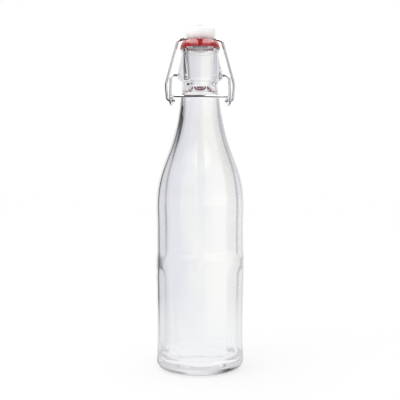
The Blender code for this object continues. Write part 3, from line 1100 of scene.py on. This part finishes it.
@dataclass
class Gasket:
    """The rubber ring between head and lip: a domed collar that hugs the lip, and a short cone."""

    top_radius: float = 12.6 * MM
    rim_thickness: float = 0.6 * MM
    skirt: float = 0.1 * MM
    crown_share: float = 0.4
    crown_spread: float = 2.4 * MM
    cone_depth: float = 1.6 * MM
    cone_taper: float = 1.2 * MM
    seat_gap: float = Stopper.seat_gap
    stem_radius: float = Stopper.stem_radius
    lip_radius: float = PanelledGlass.lip_radius
    lip_top_fillet: float = PanelledGlass.lip_top_fillet
    mouth_radius: float = PanelledGlass.mouth_radius
    sides: int = 128
    sharp_from: float = 40.0
    finish: SealRubber = SealRubber()

    def draw(self, top: float, seat: float) -> Pen:
        """Draw the ring as a loop.

        Args:
            top: the ring's top.
            seat: where its underside rests on the lip.

        Returns:
            The pen with the outline.
        """
        inner = self.stem_radius + self.seat_gap
        cone_top = self.mouth_radius - self.seat_gap
        pen = Pen((inner, seat - self.cone_depth))
        pen.line((cone_top - self.cone_taper, seat - self.cone_depth), steps=2)
        pen.line((cone_top, seat), steps=4)
        fillet = self.lip_top_fillet + self.seat_gap
        lip_edge = (self.lip_radius - self.lip_top_fillet, seat - fillet)
        pen.arc(lip_edge, fillet, 90, 0, steps=18)
        hug = pen.points[-1][0]
        foot = lip_edge[1] - self.skirt
        half = self.rim_thickness / 2
        pen.line((hug, foot), steps=3)
        pen.arc((hug + half, foot), half, 180, 360, steps=8)
        rim, rim_z = pen.points[-1]
        crown = (self.top_radius + self.crown_spread / 2, top)
        pen.curve((rim, rim_z + (top - rim_z) * self.crown_share), crown, (self.top_radius, top), steps=20)
        pen.line((inner, top), steps=4)
        return pen

    def build(self) -> None:
        """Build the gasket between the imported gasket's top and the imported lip."""
        pen = self.draw(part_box("gasket")[1].z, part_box("glass_bottle")[1].z + self.seat_gap)
        gasket = turned("seal", pen, self.sides, closed=True)
        material = self.finish.material("red_rubber")
        Dressing(material, self.sharp_from, Body.STOPPER, "gasket", Slot.RED_RUBBER).put_on(gasket)


@dataclass
class Clamp:
    """The two bent wires: the lever in the neck's sockets and the bail through the stopper."""

    wire: float = 2.0 * MM
    wire_gap: float = 0.3 * MM
    lug_face: float = PanelledGlass.neck_radius + PanelledGlass.lug_reach
    socket_depth: float = PanelledGlass.socket_depth
    neck_base_radius: float = PanelledGlass.neck_base_radius
    arm_stand_off: float = 4.7 * MM
    arm_spread: float = 0.5 * MM
    arm_bend: float = 3.2 * MM
    eye_clearance: float = 1.2 * MM
    bow_clearance: float = 0.9 * MM
    bow_dip: float = 1.7 * MM
    bow_crown: float = 1.9 * MM
    bow_corner_bend: float = 9.0 * MM
    bow_crown_bend: float = 45.0 * MM
    bail_entry: float = 12.3 * MM
    bail_top_drop: float = 1.2 * MM
    bail_top_reach: float = 5.0 * MM
    bail_top_bend: float = 2.6 * MM
    bail_bulge: float = 1.1 * MM
    bail_bulge_rise: float = 13.0 * MM
    bail_bulge_bend: float = 14.0 * MM
    hook_bend: float = 3.0 * MM
    hook_tail: float = 0.6 * MM
    end_chamfer: float = 0.25 * MM
    sides: int = 24
    step_degrees: float = 5.0
    longest_chord: float = 1.5 * MM
    sharp_from: float = 40.0
    finish: DrawnSteel = DrawnSteel()

    def __post_init__(self) -> None:
        """Work out the wires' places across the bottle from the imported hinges."""
        self.pivot = Hinge.LEVER.height()
        self.eye = Hinge.BAIL.height()
        self.cross = Hinge.STOPPER.height()
        self.arm_x = self.lug_face + self.arm_stand_off
        self.eye_outer_x = self.arm_x + self.arm_spread
        self.eye_inner_x = self.eye_outer_x - self.wire - self.wire_gap
        self.leg_x = self.eye_outer_x + self.wire + self.wire_gap
        self.eye_bend = self.wire + self.eye_clearance

    def eye_coil(self) -> list[Vector]:
        """Wind the eye's three quarters of a turn round the bail's hook, from arm to bow.

        Returns:
            The eye's middle line.
        """
        start = math.pi + math.asin(self.eye_bend / (self.pivot - self.eye))
        end = 2 * math.pi + math.pi / 2
        steps = math.ceil(math.degrees(end - start) / self.step_degrees)
        points = []
        for step in range(steps + 1):
            share = step / steps
            angle = start + (end - start) * share
            x = self.eye_outer_x + (self.eye_inner_x - self.eye_outer_x) * share
            out, up = self.eye_bend * math.cos(angle), self.eye_bend * math.sin(angle)
            points.append(Vector((x, out, self.eye + up)))
        return points

    def both_sides(self, half: list[Vector]) -> list[Vector]:
        """Return a wire's whole middle line from its half at +X, with no long chord."""
        other = [Vector((-point.x, point.y, point.z)) for point in reversed(half)]
        return evenly_spaced(half + other, self.longest_chord)

    def lever_path(self) -> list[Vector]:
        """Bend the lever: socket, arm, eye, bow and back again.

        Returns:
            The lever's middle line.
        """
        tip = Vector((self.lug_face - self.socket_depth + self.wire_gap, 0, self.pivot))
        knee = Vector((self.arm_x, 0, self.pivot))
        coil = self.eye_coil()
        arm = rounded_path([tip, knee, coil[0]], [self.arm_bend], self.step_degrees)
        bow_front = -(self.neck_base_radius + self.bow_clearance + self.wire / 2)
        bow_z = coil[-1].z - self.bow_dip
        corner = Vector((self.eye_inner_x, bow_front + self.bow_crown / 2, bow_z))
        crown = Vector((0, bow_front - self.bow_crown / 2, bow_z))
        far_corner = Vector((-corner.x, corner.y, corner.z))
        bends = [self.bow_corner_bend, self.bow_crown_bend]
        bow = rounded_path([coil[-1], corner, crown, far_corner], bends, self.step_degrees)
        return self.both_sides(arm[:-1] + coil + [point for point in bow[1:-1] if point.x > self.wire_gap])

    def bail_path(self) -> list[Vector]:
        """Bend the bail: hook, leg, cross wire and back again.

        Returns:
            The bail's middle line.
        """
        corners = [
            Vector((self.eye_inner_x - self.wire / 2 - self.hook_tail, 0, self.eye)),
            Vector((self.leg_x, 0, self.eye)),
            Vector((self.leg_x + self.bail_bulge, 0, self.eye + self.bail_bulge_rise)),
            Vector((self.bail_entry + self.bail_top_reach, 0, self.cross - self.bail_top_drop)),
            Vector((self.bail_entry, 0, self.cross)),
            Vector((0, 0, self.cross)),
        ]
        bends = [self.hook_bend, self.bail_bulge_bend, self.bail_top_bend, self.bail_top_bend]
        return self.both_sides(rounded_path(corners, bends, self.step_degrees)[:-1])

    def build(self) -> None:
        """Build both wires."""
        for body, path in ((Body.LEVER, self.lever_path()), (Body.BAIL, self.bail_path())):
            wire = wire_along(body.value + "_wire", path, self.wire / 2, self.sides, self.end_chamfer)
            material = self.finish.material(body.value + "_steel")
            Dressing(material, self.sharp_from, body, body.value, Slot.WIRE).put_on(wire)


@dataclass
class Studio:
    """The white floor, the surround with painted light and shade that only glass and wire mirror, the lamp
    and the camera.
    """

    floor_size: float = 60.0
    floor_drop: float = 0.2 * MM
    floor_grey: float = 0.34
    floor_glow: float = 0.675
    plain_grey: float = 0.95
    plain_lean: float = 0.15
    key_power: float = 0.8
    key_place: Triple = (-0.55, -0.45, 0.55)
    key_width: float = 0.5
    camera_distance: float = 0.572
    camera_height: float = 0.139
    camera_turn: float = math.radians(-3.5)
    focal_pixels: float = 730.0
    horizon_row: float = 190.0
    image_pixels: float = 400.0
    # Azimuth in degrees, 0 straight back and rising to the right, with the tone there and its cast: painted
    # light and shade that only glass and wire see, first as seen through the glass, then as outer surfaces
    # mirror it, the floor's painted reflections, and deep in the glass
    seen_tones: Tones = (
        (-180, 0.93, PLAIN), (-90, 0.97, PLAIN), (-56, 0.95, PLAIN), (-40, 0.7, COOL), (-30, 0.2, COOL),
        (-22, 0.2, COOL), (-15, 0.62, COOL), (-8, 0.82, COOL), (0.0, 0.83, COOL), (5.5, 1.0, WARM),
        (26, 1.0, WARM), (38, 0.8, COOL), (60, 0.82, COOL), (80, 0.95, PLAIN), (180, 0.93, PLAIN),
    )
    mirrored_tones: Tones = (
        (-180, 0.05, COOL), (-168, 0.05, COOL), (-160, 0.95, PLAIN), (-152, 0.95, PLAIN),
        (-144, 0.04, COOL), (-62, 0.04, COOL), (-46, 0.9, PLAIN), (-8, 1.0, PLAIN), (38, 1.0, PLAIN),
        (54, 0.5, COOL), (108, 0.5, COOL), (124, 1.0, PLAIN), (172, 1.0, PLAIN), (180, 0.05, COOL),
    )
    # The floor's painted reflections: dark and bright bands that only glass and wire see in the floor
    floor_painted_reflections: Tones = (
        (-180, 0.06, COOL), (-62, 0.04, COOL), (-46, 0.9, PLAIN), (-8, 1.0, PLAIN), (38, 1.0, PLAIN),
        (60, 0.4, COOL), (120, 0.3, COOL), (180, 0.06, COOL),
    )
    inner_tones: Tones = (
        (-180, 0.87, PLAIN), (-150, 1.0, PLAIN), (-95, 1.0, PLAIN), (-75, 0.7, COOL), (-62, 0.35, COOL),
        (-50, 0.03, COOL), (-26, 0.03, COOL), (-16, 0.5, COOL), (-4, 0.95, PLAIN), (14, 0.95, PLAIN),
        (24, 0.5, COOL), (45, 0.55, COOL), (60, 0.7, COOL), (80, 0.95, PLAIN), (130, 1.0, PLAIN),
        (180, 0.87, PLAIN),
    )
    # How far to the right a way points, from -1 to 1, with the tone overhead there
    panel_tones: tuple[Point, ...] = (
        (-1.0, 0.3), (-0.82, 0.3), (-0.7, 0.95), (-0.22, 0.95), (-0.16, 0.05), (0.14, 0.05), (0.2, 0.95),
        (0.7, 0.95), (0.82, 0.3), (1.0, 0.3),
    )
    # How steeply a way rises, from 0 to 1, where each of these starts and where it is full
    panel_rise: Span = (0.2, 0.35)
    power_rise: Span = (0.6, 0.72)
    white_rise: Span = (0.45, 0.75)
    shade_rise: Span = (0.0, 0.08)
    panel_power: float = 4.0
    # How far to either side the panels' power starts, and where it is full
    power_ends: Span = (0.8, 0.7)
    upper_shade: float = 0.9
    # The floor's distance from the axis where the painted light near the bottle, which rays through the
    # glass see there in place of the bottle's shadow, starts to fade, and is gone
    close_fade: Span = (0.05, 0.4)
    close_painted_light: float = 0.96

    def tones_round(self, bench: NodeBench, x: Socket, y: Socket, outer: Tones) -> Socket:
        """Give glass and wire their painted light and shade in each direction.

        Args:
            bench: the nodes of the world or the floor.
            x: the socket that holds how far to the right.
            y: the socket that holds how far back.
            outer: the tones that outer surfaces mirror here.

        Returns:
            The socket with the tone for the ray at hand, mirrored or let through.
        """
        turn = bench.between(bench.mathematics("ARCTAN2", x, y), -math.pi, math.pi)
        ramps = []
        for tones in (self.seen_tones, self.inner_tones, outer):
            stops = [((angle + 180) / 360, (tone, tone, tone * cast.value)) for angle, tone, cast in tones]
            ramps.append(bench.ramp(turn, stops))
        seen, inner, mirrored = ramps
        return bench.mix(bench.mirrored(), seen, bench.mix(bench.outside(), inner, mirrored))

    def build_floor(self) -> None:
        """Lay a white floor that keeps the shadow; to glass and wire it glows instead with painted
        reflections of the surround's tones, and with painted light near the bottle.
        """
        half = self.floor_size / 2
        corners = [(-half, -half, 0), (half, -half, 0), (half, half, 0), (-half, half, 0)]
        mesh = bpy.data.meshes.new("floor")
        mesh.from_pydata(corners, [], [(0, 1, 2, 3)])
        floor = add_object("floor", mesh)
        floor.location.z = -self.floor_drop
        material, bench = new_material("white_floor")
        place = bench.place("Object")
        way = bench.add("ShaderNodeSeparateXYZ", {0: place}).outputs
        tones = self.tones_round(bench, way["X"], way["Y"], self.floor_painted_reflections)
        away = bench.add("ShaderNodeVectorMath", {0: place}, operation="LENGTH").outputs["Value"]
        painted_band_share = bench.mathematics("MAXIMUM", bench.between(away, *self.close_fade), bench.outside())
        tones = bench.mix(painted_band_share, [self.close_painted_light] * 3, tones)
        glow = bench.add("ShaderNodeEmission", {"Strength": self.floor_glow})
        grey = bench.add("ShaderNodeBsdfDiffuse", {"Color": [self.floor_grey] * 3})
        white = bench.add("ShaderNodeAddShader", {0: glow.outputs[0], 1: grey.outputs[0]})
        # Painted reflections and painted light: what glass and wire see in the floor, in place of its lit
        # white and its shadow
        toned = bench.add("ShaderNodeEmission", {"Color": tones})
        sockets = {0: bench.glassy(), 1: white.outputs[0], 2: toned.outputs[0]}
        bench.surface(bench.add("ShaderNodeMixShader", sockets))
        mesh.materials.append(material)

    def overhead(self, bench: NodeBench, way: bpy.types.NodeOutputs, below: Socket) -> Socket:
        """Hang two bright panels with a dark gap between them, which only outer surfaces mirror.

        Args:
            bench: the nodes of the world.
            way: the sockets of the ray's direction.
            below: the socket with the tone without the panels.

        Returns:
            The socket with the tone.
        """
        stops = [((x + 1) / 2, (tone, tone, tone)) for x, tone in self.panel_tones]
        panels = bench.ramp(bench.between(way["X"], -1.0, 1.0), stops)
        high = bench.between(way["Z"], *self.power_rise)
        near = bench.between(bench.mathematics("ABSOLUTE", way["X"]), *self.power_ends)
        power = bench.between(bench.mathematics("MULTIPLY", high, near), 0.0, 1.0, 1.0, self.panel_power)
        share = bench.mathematics("MULTIPLY", bench.outside(), bench.mirrored())
        share = bench.mathematics("MULTIPLY", share, bench.between(way["Z"], *self.panel_rise))
        return bench.mix(share, below, bench.multiplied(panels, power))

    def build_surround(self) -> None:
        """Make the world: white to the camera, plain to soft light, and painted bands of light and shade to
        glass and wire.
        """
        world = bpy.data.worlds.new("studio")
        world.use_nodes = True
        bpy.context.scene.world = world
        bench = NodeBench(world.node_tree)
        way = bench.add("ShaderNodeSeparateXYZ", {0: bench.place("Generated")}).outputs
        # Painted reflections: only glass and wire see these bands, while the camera sees white
        tones = self.tones_round(bench, way["X"], way["Y"], self.mirrored_tones)
        tones = bench.multiplied(tones, bench.between(way["Z"], *self.shade_rise, 1.0, self.upper_shade))
        tones = bench.mix(bench.between(way["Z"], *self.white_rise), tones, WHITE)
        tones = self.overhead(bench, way, tones)
        leans = (self.plain_grey + self.plain_lean, self.plain_grey - self.plain_lean)
        lit = bench.mix(bench.glassy(), bench.between(way["X"], -1.0, 1.0, *leans), tones)
        colour = bench.mix(bench.ray("Is Camera Ray"), lit, WHITE)
        sky = bench.add("ShaderNodeBackground", {"Color": colour, "Strength": 1.0})
        bench.add("ShaderNodeOutputWorld", {"Surface": sky.outputs[0]})

    def build_lamp(self) -> None:
        """Hang the soft key lamp at the left, pointed at the bottle's middle."""
        light = bpy.data.lights.new("key", "AREA")
        light.shape = "SQUARE"
        light.size = self.key_width
        light.energy = self.key_power
        lamp = add_object("key", light)
        lamp.location = self.key_place
        middle = Vector((0, 0, CAD_BOX[1][2] / 2))
        lamp.rotation_euler = (middle - lamp.location).to_track_quat("-Z", "Y").to_euler()
        lamp.visible_glossy = False
        lamp.visible_transmission = False

    def build_camera(self) -> None:
        """Stand the camera level with the bottle's middle, tilted so that the horizon lies right."""
        camera = bpy.data.cameras.new("camera")
        camera.lens = self.focal_pixels / self.image_pixels * camera.sensor_width
        stand = add_object("camera", camera)
        across = self.camera_distance * math.sin(self.camera_turn)
        stand.location = (across, -self.camera_distance * math.cos(self.camera_turn), self.camera_height)
        tilt = math.atan((self.image_pixels / 2 - self.horizon_row) / self.focal_pixels)
        stand.rotation_euler = (math.pi / 2 - tilt, 0, self.camera_turn)
        bpy.context.scene.camera = stand

    def build(self) -> None:
        """Set the whole studio up."""
        self.build_camera()
        self.build_floor()
        self.build_surround()
        self.build_lamp()
        bpy.context.scene.view_settings.view_transform = "Standard"


def main() -> None:
    """Set up the studio and build the bottle, piece by piece."""
    logging.basicConfig(level=logging.INFO, format="%(message)s")
    Studio().build()
    PanelledGlass().build()
    Stopper().build()
    Gasket().build()
    Clamp().build()


if __name__ == "__main__":
    main()
